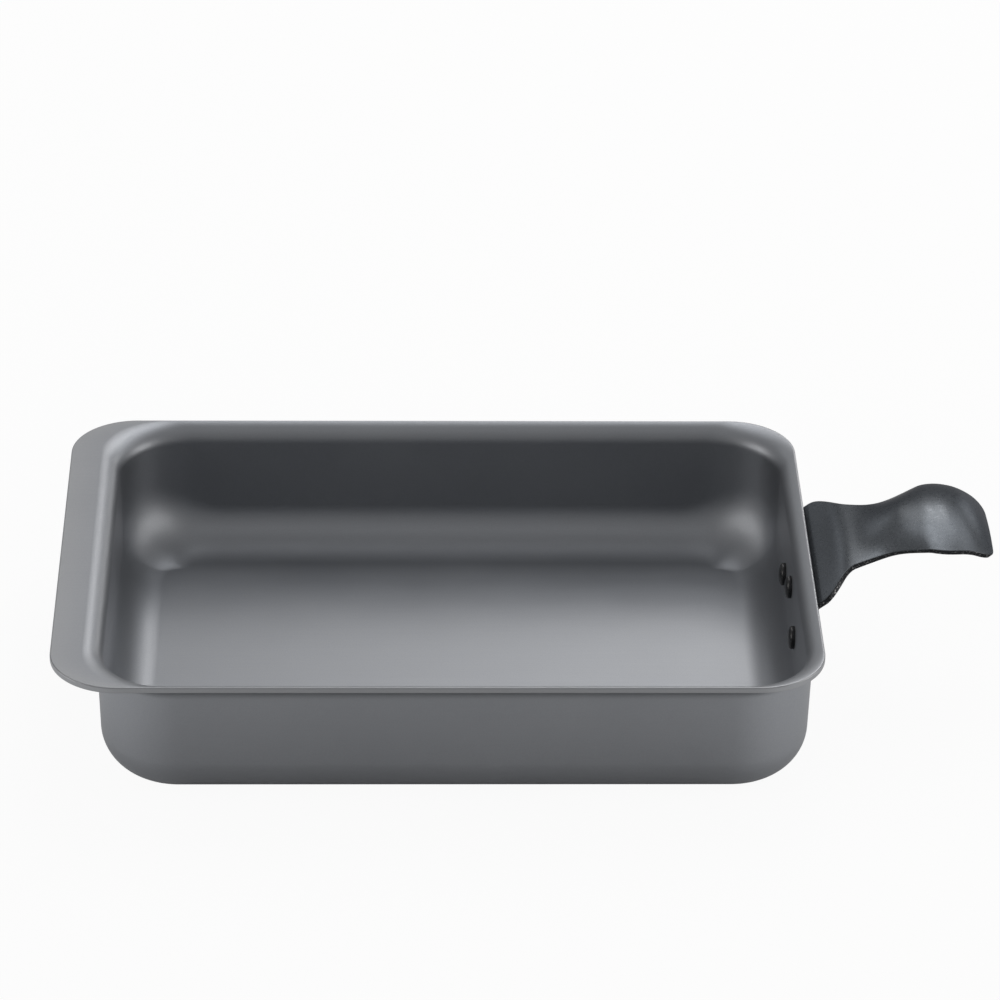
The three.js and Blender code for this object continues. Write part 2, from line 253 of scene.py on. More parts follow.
for name, turn, run in (("end", 0.0, -RUN_LENGTH), ("corner", 0.5, 0.0), ("long side", 1.0, RUN_LENGTH)):
    print("fillet at the", name, [round(size / MM, 1) for size in fillet_at(0, turn, run)], "mm")

# %% [markdown]
# ## The inside of the well
# From the flare down, the inner face is a straight wall and then the fillet. Where the one turns into the
# other differs from place to place, so a ring isn't level there. Each ring takes the same share of the way
# down everywhere, which keeps the mesh even, and the last ring lies flat on the floor.

# %% Rings down the wall and round the fillet
WALL_STEPS = 10
FILLET_STEPS = 20

corner_x = well_half_length - WALL_CORNER
corner_y = well_half_width - WALL_CORNER
signs = ((1, 1), (-1, 1), (-1, -1), (1, -1))
well_corners = [(corner_x * x, corner_y * y) for x, y in signs]


def inner_radius(height):
    """Distance of the wall's inner face from the axis of its round corner."""
    return WALL_CORNER + wall_outward(height) - pan_sheet / draft_cos


def well_place(reach, tall, share):
    """Distance from the corner's axis and height: down the wall to share 1, then round to the floor at 2."""
    start = -math.atan(tall / reach * draft_tan)
    fillet_top = pan_sheet + tall + tall * math.sin(start)
    if share < 1:
        height = flare_start + (fillet_top - flare_start) * share
        return inner_radius(height), height
    angle = start - (QUARTER + start) * (share - 1)
    out = inner_radius(fillet_top) + reach * (math.cos(angle) - math.cos(start))
    return out, pan_sheet + tall + tall * math.sin(angle)


def well_ring(share):
    """A ring inside the well, all round its four corners."""
    ring = []
    for corner, centre in enumerate(well_corners):
        for turn, run in corner_stations:
            out, height = well_place(*fillet_at(corner, turn, run), share)
            ring.append(ring_place(centre, QUARTER * (corner + turn), out, run, height))
    return ring


well = [well_ring(step / WALL_STEPS) for step in range(1, WALL_STEPS)]
well += [well_ring(1 + step / FILLET_STEPS) for step in range(FILLET_STEPS + 1)]
print("well:", len(well), "rings from the flare to the floor")

# %% [markdown]
# ## Rings into a mesh
# A drawn pan and a turned rivet have one thing in common: their surface is a row of rings. The Bridge Edge
# Loops tool joins rings by hand. A helper does the same for any number of them: it joins each ring to the
# next with four-sided faces and closes the first and the last ring.
# A number kept on every point says how much that place is rubbed by use and given a painted highlight, and
# the finishes read it later.

# %% A helper that skins a row of rings
def mesh_piece(name, points, faces, wear_and_highlight):
    """An object in the row frame, smooth, with a value of wear and painted highlight on each point."""
    mesh = bpy.data.meshes.new(name)
    mesh.from_pydata(points, [], faces)
    mesh.shade_smooth()
    # Each point's value marks rubbed places and where a painted highlight goes.
    values = mesh.attributes.new("wear_and_highlight", "FLOAT", "POINT")
    values.data.foreach_set("value", wear_and_highlight)
    piece = bpy.data.objects.new(name, mesh)
    bpy.context.scene.collection.objects.link(piece)
    weighted = piece.modifiers.new("flat faces stay flat", "WEIGHTED_NORMAL")
    weighted.mode = "FACE_AREA"
    return piece


def skin_rings(name, rings, ring_wear_and_highlight):
    """A closed piece from rings of equal count that run anticlockwise seen from the last ring's side."""
    count = len(rings[0])
    faces = [tuple(reversed(range(count)))]
    for first in range(0, (len(rings) - 1) * count, count):
        above = first + count
        for side in range(count):
            following = (side + 1) % count
            faces.append((first + side, first + following, above + following, above + side))
    last = (len(rings) - 1) * count
    faces.append(tuple(range(last, last + count)))
    points = [point for ring in rings for point in ring]
    wear_and_highlight = [value for value in ring_wear_and_highlight for _ in range(count)]
    return mesh_piece(name, points, faces, wear_and_highlight)


# %% [markdown]
# ## Pressing the pan
# The real pan is one piece of metal with no seam. A thin surface with a Solidify modifier would have the
# same bends inside and outside, and here they differ. So the skin is closed: up the outside from the base,
# over the rounded edge of the rim, and down the inside to the floor. Only the rim's edge is marked, as
# rubbed by use and as a painted highlight.

# %% Press the pan
BASE_BEND = 16 * MM
EDGE_ROUND = 0.45 * MM
EDGE_STEPS = 5


def arc(centre, radius, start, end, steps):
    """Places (outward, height) along an arc of the section, angles in radians."""
    angles = [start + (end - start) * step / steps for step in range(steps + 1)]
    return [(centre[0] + radius * math.cos(angle), centre[1] + radius * math.sin(angle)) for angle in angles]


base_centre = (wall_outward(BASE_BEND) - BASE_BEND / draft_cos, BASE_BEND)
base_arc = arc(base_centre, BASE_BEND, -QUARTER, -WALL_DRAFT, FILLET_STEPS)
lower_edge = arc((-EDGE_ROUND, lip_underside + EDGE_ROUND), EDGE_ROUND, -QUARTER, 0, EDGE_STEPS)
upper_edge = arc((-EDGE_ROUND, pan_high.z - EDGE_ROUND), EDGE_ROUND, 0, QUARTER, EDGE_STEPS)

outside = [wall_ring(*place) for place in base_arc] + outer_flare
edge = [rim_ring(-outward, height) for outward, height in lower_edge + upper_edge]
inside = inner_flare[::-1] + well
pan_rings = outside + edge + inside
pan_wear_and_highlight = [0.0] * len(outside) + [1.0] * len(edge) + [0.0] * len(inside)
pan_body = skin_rings("pan_body_pressed", pan_rings, pan_wear_and_highlight)
print("pan:", len(pan_rings), "rings,", len(pan_body.data.polygons), "faces")

# %% [markdown]
# ## The handle's path
# The handle starts as a flat blank. Its flange lies on the outside of the wall, then the sheet bends out
# under the rim, climbs a ramp, nearly levels at the neck, and rises and rolls over into the thumb rest.
# A hand-drawn curve could follow that, but a sheet is bent by tools of a set radius. So the path is a chain
# of straight runs and arcs, each with its real length, slope and radius.

# %% Sizes of the bent handle
FIT_GAP = 0.3 * MM
HANDLE_SHEET = 2 * MM
LIP_CLEARANCE = 0.5 * MM
ROOT_BEND = 6 * MM
RAMP_SLOPE = math.radians(37)
RAMP_LENGTH = 11.2 * MM
SHOULDER_BEND = 13 * MM
NECK_SLOPE = math.radians(9.2)
NECK_LENGTH = 3.8 * MM
RISE_BEND = 56 * MM
RISE_SLOPE = math.radians(17.2)
RISE_LENGTH = 13.7 * MM
THUMB_BENDS = (
    (9 * MM, math.radians(2)),
    (65 * MM, math.radians(-6)),
    (20 * MM, math.radians(-46.3)),
)
RIVET_DROP = 15.7 * MM
RIVET_STEP = 7.5 * MM
RIVET_SPACING = 43.4 * MM
RIVET_EDGE = 7.2 * MM

rivet_row = pan_high.z - RIVET_DROP - RIVET_STEP
print("lower rivets", round(rivet_row / MM, 1), "mm above the base")

# %% [markdown]
# ## The first bend, under the lip
# On the real pan the ramp passes close under the rim. The height of the first bend could be one more
# measured number. It is worked out instead from the gap that the ramp keeps to the lip's lower edge, so the
# handle stays clear of the rim when another size changes.

# %% Where the flange ends and the ramp begins
def end_wall_x(height):
    """X of the outside of the end wall that carries the handle."""
    return well_half_length + wall_outward(height)


ramp_cos = math.cos(RAMP_SLOPE)
ramp_sin = math.sin(RAMP_SLOPE)
seat_step = (FIT_GAP + ROOT_BEND) / draft_cos
lip_from_seat = pan_high.x - end_wall_x(0) - seat_step
bend_height = lip_underside * ramp_cos - lip_from_seat * ramp_sin - ROOT_BEND - LIP_CLEARANCE
bend_height /= ramp_cos - draft_tan * ramp_sin
flange_foot = rivet_row - RIVET_EDGE * draft_cos
flange_top = bend_height + ROOT_BEND * draft_sin
flange_length = (flange_top - flange_foot) / draft_cos
print("flange from", round(flange_foot / MM, 1), "to", round(flange_top / MM, 1), "mm above the base")

# %% [markdown]
# ## Walking along the path
# Bending hardly stretches a sheet, so a place on the handle is best named by its distance along the sheet.
# A Blender curve can be sampled that way too, but only through its own approximated points.
# A straight run and an arc both have exact formulas, so one helper gives the place and the heading at any
# distance, and a loop lays the legs end to end.

# %% Lay the legs of the path end to end
def along_leg(leg, distance):
    """Place and heading at a distance along the path, on one of its legs."""
    start, x, z, heading, curve = leg
    run = distance - start
    turned = heading + curve * run
    if curve == 0:
        return x + run * math.cos(heading), z + run * math.sin(heading), heading
    across = (math.sin(turned) - math.sin(heading)) / curve
    rise = (math.cos(heading) - math.cos(turned)) / curve
    return x + across, z + rise, turned


flange_heading = QUARTER - WALL_DRAFT
headings = [flange_heading, RAMP_SLOPE, NECK_SLOPE, RISE_SLOPE] + [slope for _, slope in THUMB_BENDS]
bends = [ROOT_BEND, SHOULDER_BEND, RISE_BEND] + [radius for radius, _ in THUMB_BENDS]
straights = [flange_length, RAMP_LENGTH, NECK_LENGTH, RISE_LENGTH, 0, 0]

legs = []
path_length = 0.0
spot = (end_wall_x(flange_foot) + FIT_GAP / draft_cos, flange_foot, flange_heading)
for straight, radius, heading, following in zip(straights, bends, headings, headings[1:]):
    turn = following - heading
    for length, curve in ((straight, 0.0), (radius * abs(turn), math.copysign(1 / radius, turn))):
        if length > 0:
            legs.append((path_length, *spot, curve))
            path_length += length
            spot = along_leg(legs[-1], path_length)
_, bend_start, ramp_start, _, neck_start, rise_start, _, thumb_start = [leg[0] for leg in legs[:8]]
print("handle path", round(path_length / MM, 1), "mm long, ends at x", round(spot[0] / MM, 1), "mm")

# %% [markdown]
# ## A smooth curve through a few stations
# The outline of a stamping and its crown change smoothly, but only a few widths and heights can be measured.
# An ordinary spline through them swings past the measured values. This helper sets the slope at each
# station from the two rates beside it, and to zero at a peak, so the curve never overshoots.

# %% A helper for smooth values
def smooth_through(stations):
    """A smooth value through stations of (distance, value), with no overshoot between them."""
    pairs = zip(stations, stations[1:])
    rates = [(after[1] - before[1]) / (after[0] - before[0]) for before, after in pairs]
    slopes = [0.0]
    for before, after in zip(rates, rates[1:]):
        slopes.append(2 * before * after / (before + after) if before * after > 0 else 0.0)
    slopes.append(0.0)

    def value_at(distance):
        index = max(i for i, station in enumerate(stations[:-1]) if i == 0 or station[0] <= distance)
        (start, low), (end, high) = stations[index], stations[index + 1]
        span = end - start
        share = min(max((distance - start) / span, 0.0), 1.0)
        ease = share * share * (3 - 2 * share)
        lead = share * (1 - share) ** 2 * slopes[index] * span
        trail = share * share * (1 - share) * slopes[index + 1] * span
        return low + (high - low) * ease + lead - trail

    return value_at


# %% [markdown]
# ## The handle's outline
# The blank is wide at the root, where the rivets need room, narrow at the waist and wider again under the
# thumb. A traced outline would be a long list of points. Seven stations along the path say the same,
# and they can be read and changed one by one.

# %% Widths along the handle
ROOT_WIDTH = 67.6 * MM
ROOT_HOLD = 3.6 * MM
SHOULDER_WIDTH = 42.3 * MM
WAIST_WIDTH = 36.1 * MM
WAIST_PAST_NECK = 7.9 * MM
THUMB_WIDTH = 47.5 * MM
THUMB_TOP = 6.9 * MM
END_WIDTH = 39.2 * MM

thumb_top = thumb_start + THUMB_TOP
blank_half_width = smooth_through([
    (0, RIVET_SPACING / 2 + RIVET_EDGE),
    (bend_start, ROOT_WIDTH / 2),
    (ramp_start + ROOT_HOLD, ROOT_WIDTH / 2),
    (neck_start, SHOULDER_WIDTH / 2),
    (rise_start + WAIST_PAST_NECK, WAIST_WIDTH / 2),
    (thumb_top, THUMB_WIDTH / 2),
    (path_length, END_WIDTH / 2),
])
print("width at the thumb's start", round(2 * blank_half_width(thumb_start) / MM, 1), "mm")

# %% [markdown]
# ## The handle's crown
# Across its width the handle is crowned, so that it feels round in the hand, and the crown gives the thumb
# rest its oval spot of light. Sculpting it would be hard to repeat. As heights along the path, it starts
# flat on the ramp, is slight at the neck, peaks just before the thumb rest, holds over its top and runs out
# at the free end. The last station lies past the end, so the crown is still falling there.

# %% Heights of the crown along the handle
NECK_CROWN = 0.9 * MM
PEAK_CROWN = 5.0 * MM
PEAK_LEAD = 6.5 * MM
HELD_CROWN = 4.2 * MM
HELD_FROM = 4.5 * MM
HELD_TO = 7 * MM
PAST_END = 4 * MM
PAST_END_CROWN = 0.3 * MM

crown = smooth_through([
    (ramp_start, 0),
    (neck_start, NECK_CROWN),
    (thumb_start - PEAK_LEAD, PEAK_CROWN),
    (thumb_start + HELD_FROM, HELD_CROWN),
    (thumb_start + HELD_TO, HELD_CROWN),
    (path_length + PAST_END, PAST_END_CROWN),
])
for name, distance in (("thumb's top", thumb_top), ("free end", path_length)):
    print("crown at the", name, round(crown(distance) / MM, 2), "mm")

# %% [markdown]
# ## From the flat blank to the bent sheet
# A Curve modifier could bend a flat grid along the path, and a second one could crown it, but each would
# change the sheet's thickness a little. Here a point is placed by formula: along the path, across it, and
# lifted by the crown. The underside lies one thickness below, square to the surface. That direction is
# measured by two very short steps, along and across.

# %% Points of the bent and crowned sheet
PROBE = 0.01 * MM


def upper_face(distance, y):
    """A point of the handle's upper face, at a distance along the path and a place across it."""
    leg = max((leg for leg in legs if leg[0] <= distance), default=legs[0])
    x, z, heading = along_leg(leg, distance)
    lift = crown(distance) * (1 - (y / blank_half_width(distance)) ** 2)
    return Vector((x - lift * math.sin(heading), y, z + lift * math.cos(heading)))


def in_sheet(distance, y, depth):
    """The point that lies a depth under the upper face."""
    along = upper_face(distance + PROBE, y) - upper_face(distance - PROBE, y)
    across = upper_face(distance, y + PROBE) - upper_face(distance, y - PROBE)
    return upper_face(distance, y) - along.cross(across).normalized() * depth


print("middle of the thumb rest", round(upper_face(thumb_top, 0).z / MM, 1), "mm above the base")

# %% [markdown]
# ## Rows across the blank
# The blank has round corners at both ends. On an even grid they would come out as steps. Along a quarter
# circle the rows are therefore set by equal angles, which puts them close together where the outline turns
# fastest, and evenly in between.

# %% Rows of the blank, closer together at its round corners
END_CORNER = 6.8 * MM
FLANGE_CORNER = 7 * MM
HANDLE_STEP = 1.2 * MM
END_STEPS = 14


def corner_loss(from_end, radius):
    """The half width that a round corner takes away at a distance from the end of the blank."""
    into_corner = max(radius - from_end, 0.0)
    return radius - math.sqrt(max(radius ** 2 - into_corner ** 2, 0.0))


def half_width(distance):
    """Half width of the blank with its corners rounded."""
    loss = corner_loss(distance, FLANGE_CORNER) + corner_loss(path_length - distance, END_CORNER)
    return blank_half_width(distance) - loss


quarter_steps = [1 - math.cos(QUARTER * step / END_STEPS) for step in range(END_STEPS + 1)]
foot_rows = [FLANGE_CORNER * share for share in quarter_steps]
end_rows = [path_length - END_CORNER * share for share in reversed(quarter_steps)]
between = end_rows[0] - foot_rows[-1]
middle_count = round(between / HANDLE_STEP)
middle_rows = [foot_rows[-1] + between * step / middle_count for step in range(1, middle_count)]
rows = foot_rows + middle_rows + end_rows
print("handle blank:", len(rows), "rows")

# %% [markdown]
# ## The outline of the blank
# The cut edge runs once round the blank: across the flange's foot, up one side, across the free end and
# back. A bevel needs to know which way is out at each point, and Blender's own bevel would also cut into the
# corners' close rows. Here that way is taken from the two neighbours of each point, in the flat blank.

# %% The outline, and the way out of it at each point
HANDLE_COLUMNS = 36

shares = [2 * column / HANDLE_COLUMNS - 1 for column in range(HANDLE_COLUMNS + 1)]
outline = [(0.0, half_width(0.0) * share) for share in shares]
outline += [(distance, half_width(distance)) for distance in rows[1:-1]]
outline += [(path_length, -half_width(path_length) * share) for share in shares]
outline += [(distance, -half_width(distance)) for distance in reversed(rows[1:-1])]


def outward_at(index):
    """Unit direction (along, across) out of the blank at a point of its outline."""
    before = outline[index - 1]
    after = outline[(index + 1) % len(outline)]
    along = after[0] - before[0]
    across = after[1] - before[1]
    length = math.hypot(along, across)
    return -across / length, along / length


outward = [outward_at(index) for index in range(len(outline))]
print("outline:", len(outline), "points")

# %% [markdown]
# ## The rounded cut edge
# A stamped edge isn't sharp: the press rounds it over, and the coating rounds it more. That round is what
# catches a thin line of light along the handle, which a sharp edge would lose. A row of loops carries the
# outline from the upper face round a quarter circle, down the cut, and round another one to the underside.

# %% Loops round the cut edge
HANDLE_EDGE = 0.4 * MM


def edge_loop(inset, depth):
    """The outline drawn in by an inset, at a depth in the sheet."""
    loop = []
    for (distance, y), (along, across) in zip(outline, outward):
        loop.append(in_sheet(distance - along * inset, y - across * inset, depth))
    return loop


turns = [QUARTER * step / EDGE_STEPS for step in range(EDGE_STEPS + 1)]
upper_turns = [(HANDLE_EDGE * (1 - math.sin(turn)), HANDLE_EDGE * (1 - math.cos(turn))) for turn in turns]
lower_turns = [(inset, HANDLE_SHEET - depth) for inset, depth in reversed(upper_turns)]
edge_turns = upper_turns + lower_turns
loops = [edge_loop(inset, depth) for inset, depth in edge_turns]
print("cut edge:", len(loops), "loops")

# %% [markdown]
# ## The two faces of the sheet
# One large face with many corners would shade badly on a bent sheet. Each face of the handle is a grid
# instead, which stops just short of the outline and shares the first or the last loop as its border.

# %% Grids of the upper face and the underside
def inner_grid(depth):
    """Points inside the drawn-in outline, row by row, without the outline's own points."""
    points = []
    for index in range(HANDLE_COLUMNS + 1, HANDLE_COLUMNS + len(rows) - 1):
        (distance, y), (along, across) = outline[index], outward[index]
        row_distance = distance - along * HANDLE_EDGE
        row_half_width = y - across * HANDLE_EDGE
        points += [in_sheet(row_distance, row_half_width * share, depth) for share in shares[1:-1]]
    return points


def face_index(row, column, loop_start, grid_start):
    """Index of a grid point: on the outline's loop at the border, else in the inner grid."""
    last_row = len(rows) - 1
    if row == 0:
        return loop_start + column
    if row == last_row:
        return loop_start + HANDLE_COLUMNS + last_row + HANDLE_COLUMNS - column
    if column == HANDLE_COLUMNS:
        return loop_start + HANDLE_COLUMNS + row
    if column == 0:
        return loop_start + 2 * HANDLE_COLUMNS + 2 * last_row - row
    return grid_start + (row - 1) * (HANDLE_COLUMNS - 1) + column - 1


upper_grid = inner_grid(0.0)
lower_grid = inner_grid(HANDLE_SHEET)
print("grids:", len(upper_grid), "points each")

# %% [markdown]
# ## Stamping the handle
# All points now exist, and only the faces are missing: a band between each two loops, and squares over both
# grids. Merging separate meshes by distance would work as well, but shared indices leave no doubled points.
# The value of wear and painted highlight grows from the faces to the cut, where the coating is thin and the
# painted glints sit.

# %% Stamp the handle
count = len(outline)
last_loop = (len(loops) - 1) * count
upper_start = len(loops) * count
lower_start = upper_start + len(upper_grid)
faces = []
for first in range(0, last_loop, count):
    below = first + count
    for index in range(count):
        following = (index + 1) % count
        faces.append((first + index, below + index, below + following, first + following))
for row in range(len(rows) - 1):
    for column in range(HANDLE_COLUMNS):
        square = ((row, column), (row + 1, column), (row + 1, column + 1), (row, column + 1))
        faces.append(tuple(face_index(*place, 0, upper_start) for place in square))
        faces.append(tuple(face_index(*place, last_loop, lower_start) for place in reversed(square)))

handle_points = [point for loop in loops for point in loop] + upper_grid + lower_grid
handle_wear_and_highlight = [1 - inset / HANDLE_EDGE for inset, _ in edge_turns for _ in range(count)]
handle_wear_and_highlight += [0.0] * (len(upper_grid) + len(lower_grid))
handle = mesh_piece("handle_stamped", handle_points, faces, handle_wear_and_highlight)
print("handle:", len(faces), "faces")

# %% [markdown]
# ## A rivet's profile
# A rivet has a domed head inside the pan, a shank through wall and flange, and a flatter closed end outside.
# Three primitives could be joined for it, and would leave faces inside. A turned part is better given
# by its profile: a few radii and heights along its axis, from the top of one dome to the top of the other.

# %% Draw the profile of a rivet
RIVET_SHANK = 4 * MM
RIVET_HEAD = 8 * MM
RIVET_HEAD_RISE = 2.3 * MM
RIVET_HEAD_SIDE = 1 * MM
RIVET_TAIL = 7 * MM
RIVET_TAIL_RISE = 1.6 * MM
RIVET_TAIL_SIDE = 0.35 * MM
DOME_STEPS = 10
DOME_END = math.radians(86)


def button(diameter, rise, side):
    """Radius and height of a button: a straight side and a flat oval dome, up to near its middle."""
    profile = [(diameter / 2, 0.0)]
    for step in range(DOME_STEPS + 1):
        angle = DOME_END * step / DOME_STEPS
        profile.append((diameter / 2 * math.cos(angle), side + (rise - side) * math.sin(angle)))
    return profile


tail_seat = FIT_GAP + HANDLE_SHEET
head = button(RIVET_HEAD, RIVET_HEAD_RISE, RIVET_HEAD_SIDE)
tail = button(RIVET_TAIL, RIVET_TAIL_RISE, RIVET_TAIL_SIDE)
head_profile = [(radius, -pan_sheet - height) for radius, height in reversed(head)]
tail_profile = [(radius, tail_seat + height) for radius, height in tail]
shank_profile = [(RIVET_SHANK / 2, -pan_sheet), (RIVET_SHANK / 2, tail_seat)]
rivet_profile = head_profile + shank_profile + tail_profile
print("rivet profile:", len(rivet_profile), "places")

# %% [markdown]
# ## Three rivets
# One rivet sits in the middle and two lower down at the sides, so the handle can't turn. Each goes through
# the wall square to it, so it leans with the wall. The Screw modifier could spin the profile about one axis.
# Rings placed along the wall's own direction need no rotation afterwards, and the same helper skins them.

# %% Turn the three rivets
ROUND_SIDES = 48

wall_out = Vector((draft_cos, 0, -draft_sin))
wall_up = Vector((draft_sin, 0, draft_cos))


def turn_rivet(name, y, above_row):
    """A rivet of the profile, on the end wall at a place across it and above the lower row."""
    middle = Vector((end_wall_x(rivet_row), y, rivet_row)) + wall_up * (above_row / draft_cos)
    rings = []
    for radius, out in rivet_profile:
        ring = []
        for side in range(ROUND_SIDES):
            angle = 2 * math.pi * side / ROUND_SIDES
            spoke = Vector((0, radius * math.cos(angle), 0)) + wall_up * (radius * math.sin(angle))
            ring.append(middle + wall_out * out + spoke)
        rings.append(ring)
    return skin_rings(name, rings, [0.0] * len(rings))


rivet_places = {
    "rivet_upper": (0.0, RIVET_STEP),
    "rivet_lower_front": (-RIVET_SPACING / 2, 0.0),
    "rivet_lower_rear": (RIVET_SPACING / 2, 0.0),
}
rivets = {node: turn_rivet(node + "_turned", *place) for node, place in rivet_places.items()}
print("rivets:", ", ".join(rivets))

# %% [markdown]
# ## Noise for the finishes
# Real metal is never one flat colour: it has grain, rolling lines and clouds. Image textures would need UV
# maps on every piece. Noise in the object's own coordinates needs none, and its grain keeps its real size
# from every side. Stretching the noise gives grain with a direction, as rolled sheet has.

# %% Helpers for a new finish and its noise
def new_finish(name):
    """A material with its Principled shader."""
    material = bpy.data.materials.new(name)
    material.use_nodes = True
    return material, material.node_tree.nodes["Principled BSDF"]


def noise(tree, size, detail=2.0, stretch=(1, 1, 1)):
    """A noise from 0 to 1 whose grains are about one size in metres, longer along stretched axes."""
    place = tree.nodes.new("ShaderNodeTexCoord")
    mapping = tree.nodes.new("ShaderNodeMapping")
    mapping.inputs["Scale"].default_value = [1 / (size * axis) for axis in stretch]
    texture = tree.nodes.new("ShaderNodeTexNoise")
    texture.inputs["Scale"].default_value = 1.0
    texture.inputs["Detail"].default_value = detail
    tree.links.new(place.outputs["Object"], mapping.inputs["Vector"])
    tree.links.new(mapping.outputs["Vector"], texture.inputs["Vector"])
    return texture.outputs["Fac"]


# %% [markdown]
# ## From noise to roughness and colour
# A noise has to become a small change in shine or tone. Colour ramps do that too, but hide their numbers
# in stops. A Map Range node says plainly from which values to which, a Math node joins two of them, and a
# Mix node turns an amount into a colour between two others. Most of a noise lies between 0.3 and 0.7.

# %% Helpers that spread, combine and mix
def spread(tree, value, low, high, start=0.3, end=0.7):
    """A value moved from one range to another."""
    node = tree.nodes.new("ShaderNodeMapRange")
    node.inputs["From Min"].default_value = start
    node.inputs["From Max"].default_value = end
    node.inputs["To Min"].default_value = low
    node.inputs["To Max"].default_value = high
    tree.links.new(value, node.inputs["Value"])
    return node.outputs["Result"]


def combine(tree, operation, first, second):
    """Two values joined by an arithmetic operation."""
    node = tree.nodes.new("ShaderNodeMath")
    node.operation = operation
    tree.links.new(first, node.inputs[0])
    tree.links.new(second, node.inputs[1])
    return node.outputs["Value"]


def mix_colours(tree, amount, first, second):
    """A colour between two colours, each given as a colour or as another node's output."""
    node = tree.nodes.new("ShaderNodeMix")
    node.data_type = "RGBA"
    tree.links.new(amount, node.inputs["Factor"])
    for socket, colour in ((node.inputs[6], first), (node.inputs[7], second)):
        if isinstance(colour, tuple):
            socket.default_value = (*colour, 1)
        else:
            tree.links.new(colour, socket)
    return node.outputs[2]


# %% [markdown]
# ## Relief, wear and painted highlights
# Grain can be felt as well as seen. It is far too fine for the mesh, so it is a bump of a real depth, a few
# thousandths of a millimetre. Where a piece is rubbed, and where its edge gets a painted highlight, was
# written on its points when it was made, and an Attribute node reads it back. A mask painted on a texture
# would be lost with the next change of the mesh.

# %% Helpers for bump, wear with painted highlights, and the shader's sockets
def bump(tree, height, depth, below=None):
    """A bump of a real depth in metres, laid over another bump if one is given."""
    node = tree.nodes.new("ShaderNodeBump")
    node.inputs["Distance"].default_value = depth
    tree.links.new(height, node.inputs["Height"])
    if below is not None:
        tree.links.new(below, node.inputs["Normal"])
    return node.outputs["Normal"]


def wear_and_highlight_of(tree):
    """The value of wear and painted highlight that each mesh keeps on its points."""
    node = tree.nodes.new("ShaderNodeAttribute")
    node.attribute_name = "wear_and_highlight"
    return node.outputs["Fac"]


def dress(tree, shader, tone, dull, surface):
    """Colour, roughness and relief led to the shader."""
    tree.links.new(tone, shader.inputs["Base Color"])
    tree.links.new(dull, shader.inputs["Roughness"])
    tree.links.new(surface, shader.inputs["Normal"])


# %% [markdown]
# ## Satin anodised aluminium
# Hard anodising grows a dull grey oxide on the sheet. It still mirrors its surroundings, but softly, so the
# floor of the pan fades from the dark back wall to the bright studio. A plain metal shader would look too
# clean. Very fine etched grain, faint rolling lines along the sheet and wide clouds break up the
# reflections, and the edge of the rim is painted a little lighter, partly as rubbed by use and partly as a
# painted highlight.

# %% Make the satin finish
GRAIN_SIZE = 0.45 * MM
GRAIN_DEPTH = 0.004 * MM
GRAIN_GREY = (0.25, 0.255, 0.271)
GRAIN_SHARE = 0.16
ROLLING_SIZE = 0.5 * MM
ROLLING_STRETCH = (60, 1, 1)
ROLLING_DEPTH = 0.004 * MM
ROLLING_DULL = 0.015
CLOUD_SIZE = 45 * MM
CLOUD_DULL = 0.02
SATIN_GREYS = ((0.295, 0.306, 0.327), (0.315, 0.326, 0.347))
SATIN_ROUGHNESS = (0.43, 0.49)
# A lighter grey on the rim's edge: partly rubbed by use, partly a painted highlight.
RUBBED_AND_HIGHLIGHT_GREY = (0.42, 0.42, 0.425)
RUBBED_AND_HIGHLIGHT_SHARE = 0.35


def satin_anodised():
    """The pan's finish: clouds, grain and a lighter rim edge (partly rubbed, partly a painted highlight) in
    its colour, grain and lines in its shine.
    """
    material, shader = new_finish("satin_anodised")
    tree = material.node_tree
    grain = noise(tree, GRAIN_SIZE)
    rolling = noise(tree, ROLLING_SIZE, stretch=ROLLING_STRETCH)
    clouds = noise(tree, CLOUD_SIZE, detail=3.0)
    tone = mix_colours(tree, spread(tree, clouds, 0, 1), *SATIN_GREYS)
    tone = mix_colours(tree, spread(tree, grain, 0, GRAIN_SHARE), tone, GRAIN_GREY)
    # The rim's edge is painted lighter: partly rubbed by use, partly a painted highlight.
    rubbed_and_highlight = spread(tree, wear_and_highlight_of(tree), 0, RUBBED_AND_HIGHLIGHT_SHARE, 0, 1)
    tone = mix_colours(tree, rubbed_and_highlight, tone, RUBBED_AND_HIGHLIGHT_GREY)
    rolled = spread(tree, rolling, -ROLLING_DULL, ROLLING_DULL)
    dull = combine(tree, "ADD", spread(tree, grain, *SATIN_ROUGHNESS), rolled)
    dull = combine(tree, "ADD", dull, spread(tree, clouds, -CLOUD_DULL, CLOUD_DULL))
    surface = bump(tree, grain, GRAIN_DEPTH)
    surface = bump(tree, rolling, ROLLING_DEPTH, surface)
    dress(tree, shader, tone, dull, surface)
    shader.inputs["Metallic"].default_value = 1.0
    return material


satin = satin_anodised()
print("satin finish:", len(satin.node_tree.nodes), "nodes")

# %% [markdown]
# ## Black coating of the handle
# The handle has a baked black coating with a fine metallic speckle, which shines where the thumb rest turns
# towards the light. A glossy black paint would show a hard rim of light wherever the sheet is seen at a low
# angle, and the real coating stays dark there, so the shader's Specular Tint dims that grazing mirror.
# The cut edge is black, with short lighter streaks, partly where the coating is thin and partly painted
# glints.

# %% Make the speckled coating
SPECKLE_SIZE = 0.35 * MM
SPECKLE_DEPTH = 0.006 * MM
PEEL_SIZE = 1.6 * MM
PEEL_DEPTH = 0.008 * MM
PEEL_DULL = 0.03
STREAK_SIZE = 0.6 * MM
COATING_GREYS = ((0.1, 0.109, 0.121), (0.15, 0.161, 0.174))
COATING_ROUGHNESS = (0.27, 0.34)
GRAZING_TINT = (0.2, 0.2, 0.21, 1)
CUT_BLACK = (0.006, 0.006, 0.007)
CUT_SHARE = 0.9
# Lighter grey streaks on the cut edge: partly thin coating, partly painted glints.
PAINTED_GLINT_GREY = (0.3, 0.3, 0.3)
PAINTED_GLINT_SHARE = 0.8


